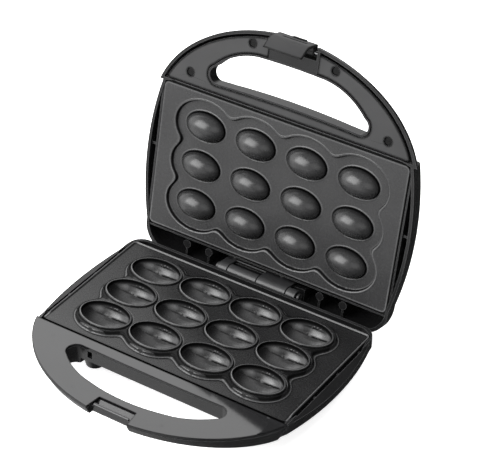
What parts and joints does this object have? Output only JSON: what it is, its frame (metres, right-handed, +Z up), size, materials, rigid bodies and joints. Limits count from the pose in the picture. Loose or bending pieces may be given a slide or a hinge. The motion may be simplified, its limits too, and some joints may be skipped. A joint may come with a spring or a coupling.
{
  "type": "walnut cookie maker",
  "caption": "Hinged electric cooking iron with a cupped lower plate, a domed upper plate, finger-loop handles and a front latch; lid stands open.",
  "frame": {"origin": "on the standing surface, under the centre of the outline with the lid open", "axes": "+Z up, +Y from the handle towards the hinge, +X across, to the right seen from the handle side"},
  "size_m": [0.2426, 0.27, 0.2307],
  "materials": {
    "shell": "dark charcoal moulded plastic, semi-gloss",
    "cover": "dark grey moulded plastic, semi-gloss",
    "plate": "cast aluminium with dark non-stick coating",
    "steel": "plain steel",
    "dark_steel": "blackened steel",
    "rubber": "black rubber",
    "latch": "dark grey moulded plastic, satin",
    "white_plastic": "heat-resistant light plastic",
    "wire": "glass-sleeved wire",
    "lamp_red": "translucent red",
    "lamp_green": "translucent green"
  },
  "bodies": {
    "base": {"base_shell": "shell", "foot_pads": "rubber", "base_handle_cover": "cover", "base_cover_screws": "steel", "lower_plate": "plate", "lower_heating_element": "dark_steel", "lower_element_terminals": "steel", "lower_heat_shield": "steel", "lower_element_saddles": "steel", "lower_plate_screws": "steel", "thermostat": "white_plastic", "thermal_fuse": "steel", "terminal_block": "white_plastic", "cord_inlet_bush": "rubber", "base_wiring": "wire", "base_hinge_bracket": "dark_steel", "hinge_pin": "steel", "base_hinge_screws": "steel"},
    "lid": {"lid_hinge_bracket": "dark_steel", "lid_hinge_screws": "steel", "lid_shell": "shell", "lid_handle_cover": "cover", "lid_cover_screws": "dark_steel", "upper_plate": "plate", "upper_heating_element": "dark_steel", "upper_element_terminals": "steel", "upper_heat_shield": "steel", "upper_element_saddles": "steel", "upper_plate_screws": "steel", "power_lamp_lens": "lamp_red", "ready_lamp_lens": "lamp_green", "latch_pin": "steel"},
    "latch": {"latch_lever": "latch"}
  },
  "joints": [
    {"name": "lid_hinge", "type": "hinge", "parent": "base", "child": "lid", "pos_m": [0, 0.06776, 0.0292], "axis": [1, 0, 0], "range_deg": [0, 102.1]},
    {"name": "latch_pivot", "type": "hinge", "parent": "lid", "child": "latch", "pos_m": [0, 0.11659, 0.22118], "axis": [1, 0, 0], "range_deg": [-25, 12]}
  ]
}
